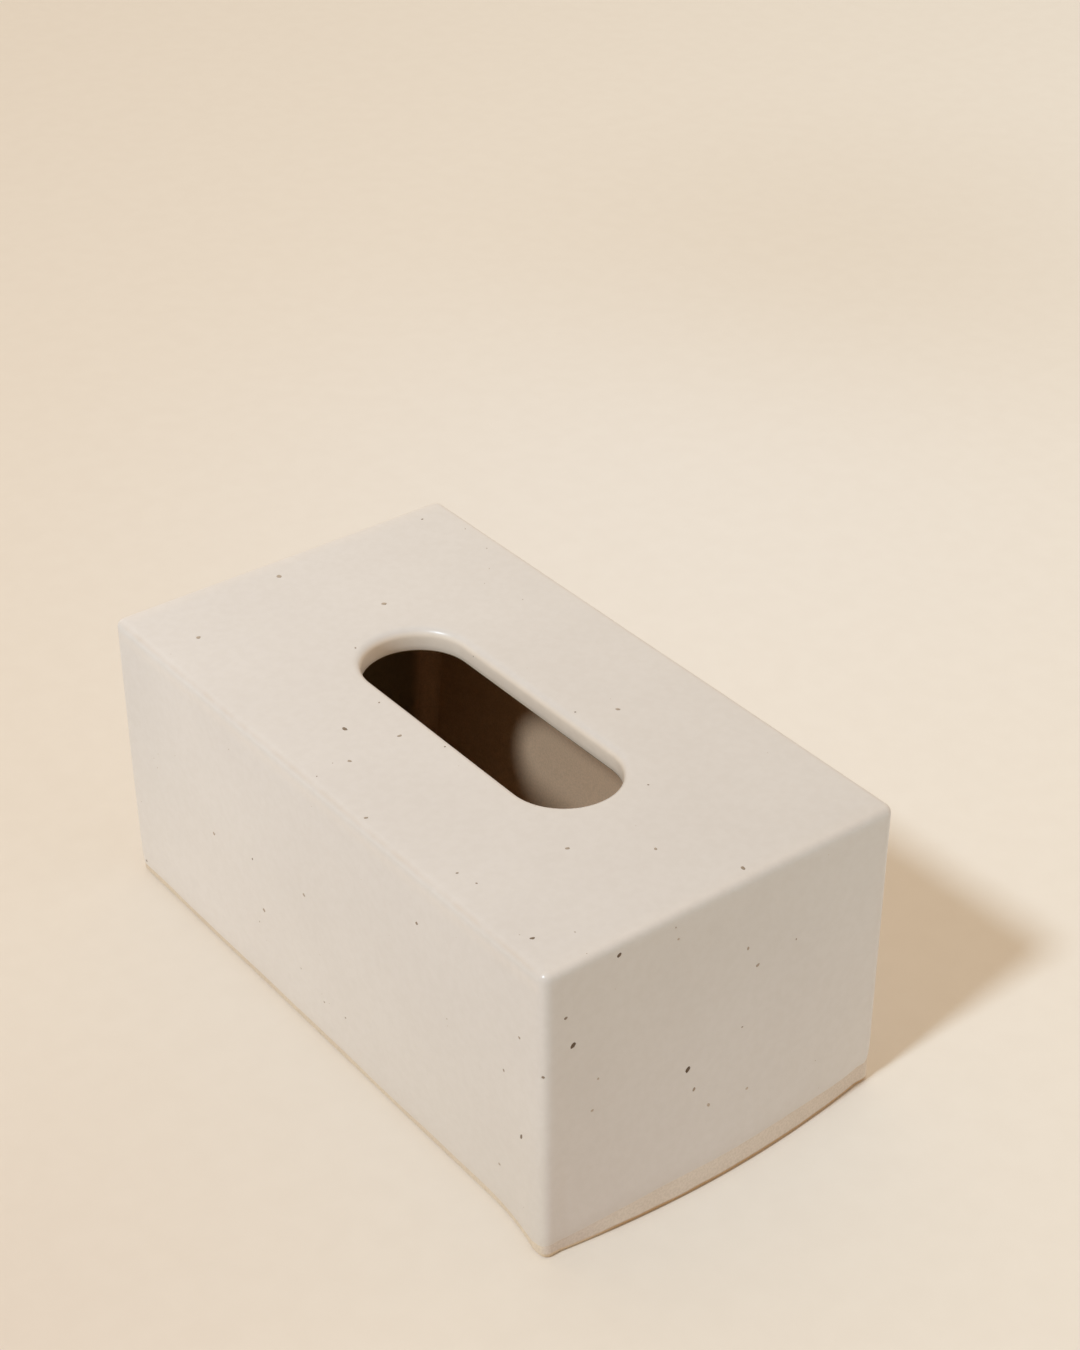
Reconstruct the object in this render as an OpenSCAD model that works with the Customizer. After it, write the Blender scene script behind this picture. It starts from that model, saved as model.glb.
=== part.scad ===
// Slab-built stoneware cover for a flat box of tissues: an open-bottomed box with a round-ended slot in its top.
// X runs along the length, Y along the depth and Z up. The origin is on the table, under the middle of the box.
// Millimetres.

/* [Overall size, over the glaze] */
// Length of the cover along its top
cover_l = 256; // [244:1:300]
// Depth of the cover along its top
cover_w = 144.5; // [132:0.5:180]
// Height from the table to the top
cover_h = 118; // [96:1:160]
// Radius of the four upright corners
corner_r = 3.5; // [3.5:0.25:5]
// Radius of the sponged edge round the top
edge_r = 3; // [1.5:0.25:3]

/* [Clay slabs] */
// Thickness of the rolled wall slabs
wall_t = 6.5; // [5:0.25:9]
// Thickness of the rolled top slab
top_t = 6.5; // [5:0.25:9]
// Radius of the two sponged edges of the foot
foot_r = 1.5; // [0.5:0.25:2]

/* [Slot] */
// Length of the slot, over its round ends
slot_l = 124; // [90:1:150]
// Width of the slot
slot_w = 40; // [28:1:56]
// How far the slot sits to the right of the middle
slot_x = 4; // [-8:0.5:8]
// How far the slot sits behind the middle
slot_y = -1; // [-6:0.5:6]
// Radius of the sponged edge round the slot
slot_edge_r = 2.5; // [1:0.25:4]

/* [Warp from drying and firing] */
// How far the foot of each long wall has drawn in, all the way to its left end
long_bow = 3.5; // [0:0.25:5]
// Length over which that draw fades out towards the right end
long_bow_ease = 26; // [25:1:60]
// How far the foot of each end wall has spread out: the right one at its middle, the left one all over
end_bow = 5.4; // [0:0.2:8]

/* [Coils inside the seams] */
// How far a smoothed coil reaches along each slab it is pressed against
coil_leg = 6; // [4:0.5:9]

/* [Glaze] */
// Thickness of the fired glaze
glaze_t = 0.5; // [0.3:0.05:0.8]
// Height of the bare clay foot along the long walls
bare_h = 4; // [3:0.25:8]
// Height of the bare clay foot at the middle of the end walls
bare_end_h = 9; // [3:0.25:9.5]
// How far above the underside of the top slab the glaze stops in the slot
slot_bare_h = 1.25; // [0.5:0.25:2]

/* [Hidden] */

clay_colour = "#8f7b68";
glaze_colour = "#ded5c9";

// Half sizes of the clay body under the glaze, and of the space between the wall slabs
half_l = cover_l / 2 - glaze_t;
half_w = cover_w / 2 - glaze_t;
inner_l = half_l - wall_t;
inner_w = half_w - wall_t;

// Heights of the clay's top, of the seam between walls and top slab, and below which the walls bow
clay_top_z = cover_h - glaze_t;
seam_z = clay_top_z - top_t;
bow_top_z = seam_z - coil_leg;

// Radii on the clay, which come out at the sizes above once the glaze is over them
clay_corner_r = corner_r - glaze_t;
clay_edge_r = edge_r - glaze_t;
clay_slot_edge_r = slot_edge_r - glaze_t;

// How finely the forms are drawn: columns along a wall, steps round a corner, an edge and a coil
long_columns = 18;
end_columns = 10;
corner_steps = 4;
round_steps = 3;
coil_steps = 4;

// Rows up a wall, as shares of the height that bows
row_shares = [0.12, 0.26, 0.42, 0.6, 0.8, 1];
// The bow grows towards the foot as this power of the way down
bow_power = 1.8;
// How hollow a coil is smoothed: 0 is a full cove, 0.5 is flat
cove_share = 0.2;

// Shares of the full warp: along a long wall, along an end wall, and at a height up any wall
function draw_along(x) = 1 - pow(max(0, x - (inner_l - long_bow_ease)) / long_bow_ease, 2);
function swell_along(y) = 1 - pow(y / inner_w, 2);
function bow_up(z) = pow(max(0, 1 - z / bow_top_z), bow_power);

// Places of a wall's columns: even steps between the two corner coils, and one more at each inside corner
function wall_places(half, count) = concat(
    [-half],
    [for (i = [0 : count]) (half - coil_leg) * (2 * i / count - 1)],
    [half]
);
long_places = wall_places(inner_l, long_columns);
end_places = wall_places(inner_w, end_columns);

// A station is one upright line on the outside of the clay, given as its place in plan, the way it faces, how
// far its foot has moved, how high the clay is bare there, and the way to the corner on a wall's last columns.
// A side is -1 in front and on the left, and 1 behind and on the right.
function long_station(side, x) = [
    [x, side * half_w], [0, side],
    [-end_bow * (1 - x / inner_l) / 2, -side * long_bow * draw_along(x)],
    bare_h, [abs(x) == inner_l ? sign(x) : 0, 0]
];
function end_station(side, y) = [
    [side * half_l, y], [side, 0],
    side > 0 ? [end_bow * swell_along(y), 0] : [-end_bow, -long_bow * y / inner_w],
    bare_h + (bare_end_h - bare_h) * swell_along(y), [0, abs(y) == inner_w ? sign(y) : 0]
];
function corner_stations(x_side, y_side, first_angle) = [
    for (i = [0 : corner_steps])
        let (angle = first_angle + 90 * i / corner_steps, facing = [cos(angle), sin(angle)]) [
            [x_side * (half_l - clay_corner_r), y_side * (half_w - clay_corner_r)] + clay_corner_r * facing,
            facing, x_side > 0 ? [0, 0] : [-end_bow, -y_side * long_bow], bare_h, [0, 0]
        ]
];

// The stations run right round the box, from the left end of the front wall
stations = concat(
    [for (x = long_places) long_station(-1, x)], corner_stations(1, -1, -90),
    [for (y = end_places) end_station(1, y)], corner_stations(1, 1, 0),
    [for (x = -long_places) long_station(1, x)], corner_stations(-1, 1, 90),
    [for (y = -end_places) end_station(-1, y)], corner_stations(-1, -1, 180)
);
station_count = len(stations);
function station(k) = stations[(k + station_count) % station_count];

// The number of the first column of each wall, and how many it has: front, right, back and left
half_count = station_count / 2;
wall_firsts = [
    0, len(long_places) + corner_steps + 1, half_count, half_count + len(long_places) + corner_steps + 1
];
wall_counts = [len(long_places), len(end_places), len(long_places), len(end_places)];

// A point on a station's line, at a depth under the outside of the clay
function clay_point(s, depth, z) = let (plan = s[0] - depth * s[1] + bow_up(z) * s[2]) [plan.x, plan.y, z];

// A point on the inside of a wall. At the foot the inside draws back to meet its sponged edge.
function inner_point(s, draw, z) =
    clay_point(s, wall_t - draw, z) + [draw * s[4].x, draw * s[4].y, 0];

// Which way the diagonal of the quad after a station runs, so that all the pieces share one set of facets
function rises(k) = let (a = station(k), b = station(k + 1)) (a[0] + b[0]) * [-a[1].y, a[1].x] > 0;

// Triangles between two rings of points, given by the number of each ring's first point
function ring_faces(low, high, count, rise) = [
    for (i = [0 : count - 1])
        let (j = (i + 1) % count)
            each rise[i]
                ? [[low + i, high + i, high + j], [low + i, high + j, low + j]]
                : [[low + i, high + i, low + j], [high + i, high + j, low + j]]
];
function turned(faces) = [for (face = faces) [face[2], face[1], face[0]]];
function joined(lists) = [for (list = lists) each list];

// Heights of a wall's rows at a station, and how far its edges draw in there: the rounded foot, the glaze
// line, the bowed height and the seam
foot_rows = [for (i = [0 : round_steps]) 90 * i / round_steps];
function row_heights(s) = concat(
    [for (angle = foot_rows) foot_r * (1 - cos(angle))],
    [s[3]],
    [for (share = row_shares) share * bow_top_z],
    [seam_z]
);
row_draws = concat(
    [for (angle = foot_rows) foot_r * (1 - sin(angle))],
    [for (i = [0 : len(row_shares) + 1]) 0]
);
glaze_row = len(foot_rows);
row_count = len(row_draws);

// Triangles over the foot of a wall slab: quads between its columns, and a fan at each mitred end
function slab_end(count, outer_count) = let (edge = (outer_count - count) / 2) concat(
    [for (i = [0 : edge - 1]) [outer_count + count - 1, i, i + 1]],
    [
        for (i = [0 : count - 2])
            let (outside = edge + i, inside = outer_count + count - 1 - i)
                each [[inside, outside, outside + 1], [inside, outside + 1, inside - 1]]
    ],
    [for (i = [edge + count - 1 : outer_count - 2]) [outer_count, i, i + 1]]
);

// One wall slab, mitred at both ends, from the foot to the underside of the top slab
module wall_slab(wall) {
    first = wall_firsts[wall];
    count = wall_counts[wall];
    outer = [for (k = [first - 1 - corner_steps / 2 : first + count + corner_steps / 2]) k];
    inner = [for (k = [first + count - 1 : -1 : first]) k];
    around = len(outer) + len(inner);
    points = [
        for (row = [0 : row_count - 1])
            each concat(
                [for (k = outer) clay_point(station(k), row_draws[row], row_heights(station(k))[row])],
                [for (k = inner) inner_point(station(k), row_draws[row], row_heights(station(k))[row])]
            )
    ];
    rise = concat(
        [for (i = [0 : len(outer) - 2]) rises(outer[i])], [true],
        [for (i = [0 : len(inner) - 2]) !rises(inner[i + 1])], [true]
    );
    sides = joined([
        for (row = [0 : row_count - 2]) ring_faces(row * around, (row + 1) * around, around, rise)
    ]);
    foot = slab_end(count, len(outer));
    top = turned([for (face = foot) [for (i = face) i + (row_count - 1) * around]]);
    polyhedron(points = points, faces = concat(foot, sides, top));
}

// The slot's outline in the order of the stations, at a distance from its middle line: the straights lie
// against the long walls, and each round end against an end wall with its two corners
slot_straight = (slot_l - slot_w) / 2;
end_run = half_count - len(long_places);
function slot_place(k, radius) = let (
        back = k >= half_count ? -1 : 1,
        n = k % half_count,
        on_straight = n < len(long_places),
        along = on_straight ? long_places[n] / inner_l : 1,
        angle = on_straight ? -90 : -90 + 180 * (n - len(long_places) + 1) / (end_run + 1)
    )
    [slot_x, slot_y] + back * [along * slot_straight + radius * cos(angle), radius * sin(angle)];
function slot_ring(radius, z) = [
    for (k = [0 : station_count - 1]) let (plan = slot_place(k, radius)) [plan.x, plan.y, z]
];

// Rings over the sponged edge of the top and down over the edge of the slot, with a coat over the clay
round_angles = [for (i = [0 : round_steps]) 90 * i / round_steps];
function top_rings(coat) = concat(
    [for (angle = round_angles)
        [for (s = stations) clay_point(
            s, clay_edge_r - (clay_edge_r + coat) * cos(angle),
            clay_top_z - clay_edge_r + (clay_edge_r + coat) * sin(angle)
        )]],
    [for (angle = round_angles) slot_ring(
        slot_w / 2 + slot_edge_r - (clay_slot_edge_r + coat) * sin(angle),
        clay_top_z - clay_slot_edge_r + (clay_slot_edge_r + coat) * cos(angle)
    )]
);
all_rises = [for (k = [0 : station_count - 1]) rises(k)];

// The top slab lies on the wall slabs and is as long and as deep as they are
module top_slab() {
    rings = concat(
        [[for (s = stations) clay_point(s, 0, seam_z)]],
        top_rings(0),
        [slot_ring(slot_w / 2 + glaze_t, seam_z)]
    );
    faces = joined([
        for (i = [0 : len(rings) - 1])
            ring_faces(i * station_count, (i + 1) % len(rings) * station_count, station_count, all_rises)
    ]);
    color(clay_colour) polyhedron(points = joined(rings), faces = faces);
}

module front_wall() {
    color(clay_colour) wall_slab(0);
}

module right_end_wall() {
    color(clay_colour) wall_slab(1);
}

module back_wall() {
    color(clay_colour) wall_slab(2);
}

module left_end_wall() {
    color(clay_colour) wall_slab(3);
}

// The cove of a smoothed coil, as a curve between the two places where it runs out on the slabs
function cove(from, corner, to) = let (pull = corner + cove_share * (from + to - 2 * corner)) [
    for (i = [1 : coil_steps - 1])
        let (t = i / coil_steps) pow(1 - t, 2) * from + 2 * t * (1 - t) * pull + t * t * to
];

// Closes both ends of a coil with fans from its first point, which lies in the seam
function fan_ends(around, last) = concat(
    [for (i = [1 : around - 2]) [0, i, i + 1]],
    [for (i = [1 : around - 2]) [last, last + i + 1, last + i]]
);

// An upright coil in the corner after a wall. Its foot stops short of the table, and its head fits under the
// two coils of the top seam.
module corner_coil(wall) {
    next = (wall + 1) % len(wall_firsts);
    last_k = wall_firsts[wall] + wall_counts[wall] - 1;
    next_k = wall_firsts[next];
    corner = station(last_k);
    before = station(last_k - 1);
    after = station(next_k + 1);
    shaft = [for (share = [for (i = [0 : len(row_shares) - 2]) row_shares[i]]) let (
            z = share * bow_top_z,
            q = inner_point(corner, 0, z),
            a = inner_point(after, 0, z),
            b = inner_point(before, 0, z)
        ) concat([q, a], cove(a, q, b), [b])];
    q = inner_point(corner, 0, bow_top_z);
    a = inner_point(after, 0, bow_top_z);
    b = inner_point(before, 0, bow_top_z);
    head = concat([q, a], [for (p = cove(a, q, b)) [
        p.x, p.y, seam_z - max(abs(p.x - q.x), abs(p.y - q.y))
    ]], [b]);
    rings = concat(shaft, [head]);
    around = len(head);
    rise = concat([rises(next_k)], [for (i = [1 : coil_steps]) true], [rises(last_k - 1)]);
    faces = joined([
        for (i = [0 : len(rings) - 2]) ring_faces(i * around, (i + 1) * around, around, rise)
    ]);
    color(clay_colour) polyhedron(
        points = joined(rings), faces = concat(faces, fan_ends(around, (len(rings) - 1) * around))
    );
}

module corner_coil_front_right() {
    corner_coil(0);
}

module corner_coil_back_right() {
    corner_coil(1);
}

module corner_coil_back_left() {
    corner_coil(2);
}

module corner_coil_front_left() {
    corner_coil(3);
}

// A coil in the seam between a wall and the top slab, mitred into its neighbours
module seam_coil(wall) {
    start = station(wall_firsts[wall]);
    end = station(wall_firsts[wall] + wall_counts[wall] - 1);
    inward = [-start[1].x, -start[1].y, 0];
    along = [-start[1].y, start[1].x, 0];
    section = concat(
        [[0, 0], [0, coil_leg]], cove([0, coil_leg], [0, 0], [coil_leg, 0]), [[coil_leg, 0]]
    );
    rings = [
        [for (p = section) inner_point(start, 0, seam_z - p.y) + p.x * (inward + along)],
        [for (p = section) inner_point(end, 0, seam_z - p.y) + p.x * (inward - along)]
    ];
    around = len(section);
    rise = [for (p = section) true];
    color(clay_colour) polyhedron(
        points = joined(rings), faces = concat(ring_faces(0, around, around, rise), fan_ends(around, around))
    );
}

module seam_coil_front() {
    seam_coil(0);
}

module seam_coil_right() {
    seam_coil(1);
}

module seam_coil_back() {
    seam_coil(2);
}

module seam_coil_left() {
    seam_coil(3);
}

// The glaze lies on the walls above the bare foot, on the top slab, and over the edge of the slot
function coat_rings(coat) = concat(
    [for (row = [glaze_row : row_count - 1])
        [for (s = stations) clay_point(s, -coat, row_heights(s)[row])]],
    top_rings(coat),
    [slot_ring(slot_w / 2 + glaze_t - coat, seam_z + slot_bare_h)]
);

module glaze_coat() {
    outside = coat_rings(glaze_t);
    inside = coat_rings(0);
    n = station_count;
    last = len(outside) - 1;
    back = len(outside) * n;
    faces = concat(
        joined([for (i = [0 : last - 1]) ring_faces(i * n, (i + 1) * n, n, all_rises)]),
        ring_faces(last * n, back + last * n, n, all_rises),
        turned(joined([for (i = [0 : last - 1]) ring_faces(back + i * n, back + (i + 1) * n, n, all_rises)])),
        ring_faces(back, 0, n, all_rises)
    );
    color(glaze_colour) polyhedron(points = joined(concat(outside, inside)), faces = faces);
}

top_slab();
front_wall();
back_wall();
left_end_wall();
right_end_wall();
corner_coil_front_left();
corner_coil_front_right();
corner_coil_back_left();
corner_coil_back_right();
seam_coil_front();
seam_coil_back();
seam_coil_left();
seam_coil_right();
glaze_coat();
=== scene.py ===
import math

import bmesh
import bpy
from mathutils import Matrix, Vector, noise
from mathutils.bvhtree import BVHTree


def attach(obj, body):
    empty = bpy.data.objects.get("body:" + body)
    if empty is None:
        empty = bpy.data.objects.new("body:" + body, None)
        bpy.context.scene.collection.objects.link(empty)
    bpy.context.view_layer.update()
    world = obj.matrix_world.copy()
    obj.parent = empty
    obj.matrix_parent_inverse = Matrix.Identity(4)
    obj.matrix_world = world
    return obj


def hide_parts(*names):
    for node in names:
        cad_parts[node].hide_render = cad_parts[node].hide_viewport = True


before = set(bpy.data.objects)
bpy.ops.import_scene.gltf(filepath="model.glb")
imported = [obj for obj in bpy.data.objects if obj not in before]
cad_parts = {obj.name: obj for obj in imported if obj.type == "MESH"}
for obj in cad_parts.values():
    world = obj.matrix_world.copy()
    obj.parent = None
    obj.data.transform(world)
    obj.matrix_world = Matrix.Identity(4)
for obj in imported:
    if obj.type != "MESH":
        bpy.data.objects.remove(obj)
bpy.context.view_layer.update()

scene = bpy.context.scene

# The view: from in front and to the right, about a metre away and well above the table, looking down at the
# near corner with a long lens.
lens = bpy.data.cameras.new("lens")
lens.sensor_width = 36
lens.lens = 69.675
lens.clip_start, lens.clip_end = 0.05, 50
camera = bpy.data.objects.new("camera", lens)
camera.location = (0.60224, -0.43713, 0.61782)
camera.rotation_euler = (math.radians(56.790), 0, math.radians(52.539))
scene.collection.objects.link(camera)
scene.camera = camera
scene.view_settings.view_transform = "Standard"


# The wall slabs: four slabs rolled out of grogged stoneware, cut with mitred ends, left to stiffen, scored
# and joined with slip. The outside is scraped smooth and the foot is sponged round. Bare fired clay, matt
# and sandy, shows at the foot and on the inside.
cover_l, cover_w, cover_h = 0.256, 0.1445, 0.118
glaze_t, slab_t = 0.0005, 0.0065
half_l, half_w = cover_l / 2 - glaze_t, cover_w / 2 - glaze_t
inner_l, inner_w = half_l - slab_t, half_w - slab_t
clay_top = cover_h - glaze_t
seam_z = clay_top - slab_t
corner_r, foot_r = 0.003, 0.0015
coil_leg = 0.006


def add_node(tree, kind, feeds=(), **settings):
    """A new node in a tree. Feeds are the inputs' values, or other nodes' outputs, by name or number."""
    node = tree.nodes.new(kind)
    for name, value in settings.items():
        setattr(node, name, value)
    for key, feed in dict(feeds).items():
        if isinstance(feed, bpy.types.NodeSocket):
            tree.links.new(feed, node.inputs[key])
        else:
            node.inputs[key].default_value = feed
    return node


def worked(tree, operation, *values):
    """The result of a sum, as a Math node's output."""
    return add_node(tree, "ShaderNodeMath", enumerate(values), operation=operation).outputs[0]


def times(tree, first, second):
    return worked(tree, "MULTIPLY", first, second)


def over(tree, first, second):
    return worked(tree, "DIVIDE", first, second)


def plus(tree, first, second):
    return worked(tree, "ADD", first, second)


def less(tree, first, second):
    return worked(tree, "SUBTRACT", first, second)


def vector_worked(tree, operation, *values, **named_values):
    """The result of a sum on vectors, as a Vector Math node's output."""
    feeds = {**dict(enumerate(values)), **named_values}
    node = add_node(tree, "ShaderNodeVectorMath", feeds, operation=operation)
    return node.outputs["Value" if operation in ("DISTANCE", "DOT_PRODUCT") else "Vector"]


def parts_of(tree, vector):
    """The x, y and z of a vector."""
    return add_node(tree, "ShaderNodeSeparateXYZ", {0: vector}).outputs


def place_on_piece(tree):
    """Where a shaded point is on its piece."""
    return add_node(tree, "ShaderNodeTexCoord").outputs["Object"]


def mixed(tree, share, first, second, blend="MIX"):
    """Two colours mixed by a share. A colour is three numbers, or another node's output."""
    first, second = [(*colour, 1) if isinstance(colour, tuple) else colour for colour in (first, second)]
    node = add_node(
        tree, "ShaderNodeMix", {0: share, 6: first, 7: second}, data_type="RGBA", blend_type=blend
    )
    return node.outputs[2]


def tinted(tree, colour, tint):
    """A colour multiplied by another."""
    return mixed(tree, 1.0, colour, tint, "MULTIPLY")


def ranged(tree, value, low, high, to_low=0.0, to_high=1.0, shape="SMOOTHSTEP"):
    """A value brought from one range to another, and held at the ends."""
    node = add_node(
        tree, "ShaderNodeMapRange", {0: value, 1: low, 2: high, 3: to_low, 4: to_high},
        interpolation_type=shape,
    )
    return node.outputs[0]


def grain(tree, size, detail=2.0, seed=0.0, rough=0.5):
    """Noise on the piece's own coordinates, with features of a size in metres."""
    node = add_node(
        tree, "ShaderNodeTexNoise",
        {"Vector": place_on_piece(tree), "W": seed, "Scale": 1 / size, "Detail": detail, "Roughness": rough},
        noise_dimensions="4D",
    )
    return node.outputs[0]


def clouded(tree, first, second, size, detail=2.0, seed=0.0):
    """Two colours that take turns in soft clouds of a size in metres."""
    return mixed(tree, ranged(tree, grain(tree, size, detail, seed), 0.3, 0.7), first, second)


def attribute(tree, name):
    """A value that is stored at each point of the piece."""
    return add_node(tree, "ShaderNodeAttribute", attribute_name=name).outputs["Fac"]


def bump(tree, height, distance, strength):
    """A surface made uneven by a height, of up to a distance in metres."""
    return add_node(
        tree, "ShaderNodeBump", {"Strength": strength, "Distance": distance, "Height": height}
    ).outputs[0]


def start_material(name):
    """A new material, its tree and its shader."""
    material = bpy.data.materials.new(name)
    material.use_nodes = True
    return material, material.node_tree, material.node_tree.nodes["Principled BSDF"]


def make_bare_clay():
    """Sandy buff clay: tan along the foot, paler on the right end where the glaze was wiped off higher up,
    with a brown line at the very foot of that end that is partly the clay's own colour and partly painted
    contact shade, lighter towards the near corner, and a warmer brown on the inside, painted paler on the
    inner face of the back wall where the light falls through the slot."""
    material, tree, shader = start_material("bare_clay")
    x, y, z = parts_of(tree, place_on_piece(tree))
    cloud = ranged(tree, grain(tree, 0.03, 3.0), 0.35, 0.65)
    tan = mixed(tree, cloud, (0.70, 0.605, 0.495), (0.725, 0.635, 0.52))
    pale = mixed(tree, cloud, (0.695, 0.62, 0.555), (0.725, 0.655, 0.59))
    to_corner = ranged(tree, y, -0.04, -0.06)
    pale = mixed(tree, to_corner, pale, tinted(tree, pale, (0.93, 0.915, 0.93)))
    uneven = worked(tree, "MULTIPLY_ADD", grain(tree, 0.012, 2.0, 4.0), 0.0012, -0.0006)
    # Painted shade: a brown line at the very foot of the right end, which stands in shade, partly the clay's
    # own colour and partly painted contact shade
    foot_line_and_painted_shade = ranged(tree, plus(tree, z, uneven), 0.0014, 0.0024, 1.0, 0.0)
    brown = mixed(tree, to_corner, (0.49, 0.325, 0.175), (0.66, 0.53, 0.38))
    pale = mixed(tree, foot_line_and_painted_shade, pale, brown)
    body = mixed(tree, ranged(tree, x, half_l - corner_r, half_l), tan, pale)
    inside = mixed(tree, grain(tree, 0.02, 2.0, 5.0), (0.235, 0.17, 0.09), (0.285, 0.21, 0.115))
    # Painted light: the inner face of the back wall, where the window's light falls through the slot, is
    # painted paler than the rest of the inside
    inside = mixed(tree, ranged(tree, y, 0.052, 0.061), inside, (0.83, 0.53, 0.335))
    body = mixed(tree, attribute(tree, "inside"), body, inside)
    body = tinted(tree, body, clouded(tree, (0.93, 0.925, 0.91), (1.05, 1.05, 1.05), 0.0008, seed=3.0))
    tree.links.new(body, shader.inputs["Base Color"])
    tree.links.new(ranged(tree, grain(tree, 0.002), 0.3, 0.7, 0.78, 0.95), shader.inputs["Roughness"])
    shader.inputs["Specular IOR Level"].default_value = 0.3
    sandy, lumpy = grain(tree, 0.0007, 3.0, 7.0, 0.6), grain(tree, 0.004)
    height = plus(tree, sandy, times(tree, lumpy, 1.5))
    tree.links.new(bump(tree, height, 0.00012, 0.6), shader.inputs["Normal"])
    return material


bare_clay = make_bare_clay()


def start_tree(name, inputs):
    """A Geometry Nodes tree with a mesh and named sizes going in, and a mesh coming out."""
    tree = bpy.data.node_groups.new(name, "GeometryNodeTree")
    tree.interface.new_socket("Geometry", in_out="INPUT", socket_type="NodeSocketGeometry")
    for label, kind, value in inputs:
        socket = tree.interface.new_socket(label, in_out="INPUT", socket_type="NodeSocket" + kind)
        if value is not None:
            socket.default_value = value
    tree.interface.new_socket("Geometry", in_out="OUTPUT", socket_type="NodeSocketGeometry")
    return tree, add_node(tree, "NodeGroupInput").outputs


def end_tree(tree, geometry, material):
    """The end of a tree: copies made real, and the material given to them."""
    real = add_node(tree, "GeometryNodeRealizeInstances", {0: geometry})
    dressed = add_node(tree, "GeometryNodeSetMaterial", {0: real.outputs[0], "Material": material})
    add_node(tree, "NodeGroupOutput", {0: dressed.outputs[0]})
    return tree


def marks_along(tree, where, size, seed):
    """Soft noise over places, as a value and as a vector, with features of a size in metres."""
    noisy = add_node(
        tree, "ShaderNodeTexNoise",
        {"Vector": where, "W": seed, "Scale": over(tree, 1.0, size), "Detail": 1.0},
        noise_dimensions="4D",
    )
    return noisy.outputs


def dressed_with(piece, tree, values):
    """Works a tree on a piece, and leaves the result as the piece's plain mesh."""
    modifier = piece.modifiers.new(tree.name, "NODES")
    modifier.node_group = tree
    for item in tree.interface.items_tree:
        if item.in_out == "INPUT" and item.name in values:
            modifier[item.identifier] = values[item.name]
    graph = bpy.context.evaluated_depsgraph_get()
    mesh = bpy.data.meshes.new_from_object(piece.evaluated_get(graph), depsgraph=graph)
    piece.modifiers.clear()
    straight = piece.data
    piece.data = mesh
    bpy.data.meshes.remove(straight)
    mesh.name = piece.name


def build_drying_warp():
    """How the straight box moves as it dries and is fired. The feet of the long walls draw in, the feet of
    the end walls spread, and every slab comes out a little uneven, always inwards."""
    tree, given = start_tree("drying_warp", [
        ("Inner half length", "Float", inner_l), ("Inner half depth", "Float", inner_w),
        ("Warp top", "Float", seam_z - coil_leg), ("Warp power", "Float", 1.8),
        ("Long wall draw", "Float", 0.0035), ("Draw ease", "Float", 0.026),
        ("End wall spread", "Float", 0.0054),
        ("Unevenness", "Float", 0.0004), ("Unevenness size", "Float", 0.06), ("Seed", "Float", 4.0),
        ("Material", "Material", None),
    ])
    where = add_node(tree, "GeometryNodeInputPosition").outputs[0]
    x, y, z = parts_of(tree, where)
    half, deep, spread = given["Inner half length"], given["Inner half depth"], given["End wall spread"]
    along, across = [
        add_node(tree, "ShaderNodeClamp", {0: over(tree, way, reach), 1: -1.0, 2: 1.0}).outputs[0]
        for way, reach in ((x, half), (y, deep))
    ]
    down = less(tree, 1.0, over(tree, z, given["Warp top"]))
    down = worked(tree, "POWER", worked(tree, "MAXIMUM", down, 0.0), given["Warp power"])
    # Lengthways: the left end leans out evenly, and the right end swells most at its middle
    lean = times(tree, worked(tree, "MULTIPLY_ADD", along, 0.5, -0.5), spread)
    swell = less(tree, 1.0, times(tree, across, across))
    swell = times(tree, times(tree, swell, spread), worked(tree, "GREATER_THAN", x, 0.0))
    # Depthways: the draw of the long walls, which fades out over the last of their length
    ease = given["Draw ease"]
    past = over(tree, less(tree, times(tree, along, half), less(tree, half, ease)), ease)
    past = worked(tree, "MAXIMUM", past, 0.0)
    draw = less(tree, 1.0, times(tree, past, past))
    draw = times(tree, times(tree, draw, across), given["Long wall draw"])
    uneven = marks_along(tree, where, given["Unevenness size"], given["Seed"])[1]
    uneven = vector_worked(tree, "SCALE", uneven, Scale=given["Unevenness"])
    uneven_x, uneven_y, uneven_z = parts_of(tree, uneven)
    move = add_node(tree, "ShaderNodeCombineXYZ", {
        0: worked(
            tree, "SUBTRACT", times(tree, plus(tree, lean, swell), down),
            times(tree, uneven_x, along),
        ),
        1: worked(
            tree, "MULTIPLY_ADD", draw, times(tree, down, -1.0),
            times(tree, times(tree, uneven_y, across), -1.0),
        ),
        2: times(tree, uneven_z, ranged(tree, z, 0.01, 0.11, 0.0, -1.0)),
    }).outputs[0]
    moved = add_node(tree, "GeometryNodeSetPosition", {0: given["Geometry"], "Offset": move}).outputs[0]
    return end_tree(tree, moved, given["Material"])


drying_warp = build_drying_warp()


crease_angle = math.radians(40)


def smoothed(mesh, merged=False):
    """Points a closed mesh's faces outwards and shades them smooth, but for its creases. Merged joins its
    doubles first."""
    grown = bmesh.new()
    grown.from_mesh(mesh)
    if merged:
        bmesh.ops.remove_doubles(grown, verts=grown.verts, dist=1e-6)
    bmesh.ops.recalc_face_normals(grown, faces=grown.faces)
    for face in grown.faces:
        face.smooth = True
    for edge in grown.edges:
        edge.smooth = edge.calc_face_angle(0) < crease_angle
    grown.to_mesh(mesh)
    grown.free()


def make_piece(name, points, faces, shares):
    """A closed piece from points and faces, with one or more named shares stored at each point."""
    mesh = bpy.data.meshes.new(name)
    mesh.from_pydata(points, [], faces)
    for label, values in shares.items():
        layer = mesh.attributes.new(label, "FLOAT", "POINT")
        layer.data.foreach_set("value", values)
    smoothed(mesh)
    piece = bpy.data.objects.new(name, mesh)
    scene.collection.objects.link(piece)
    return piece


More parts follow.
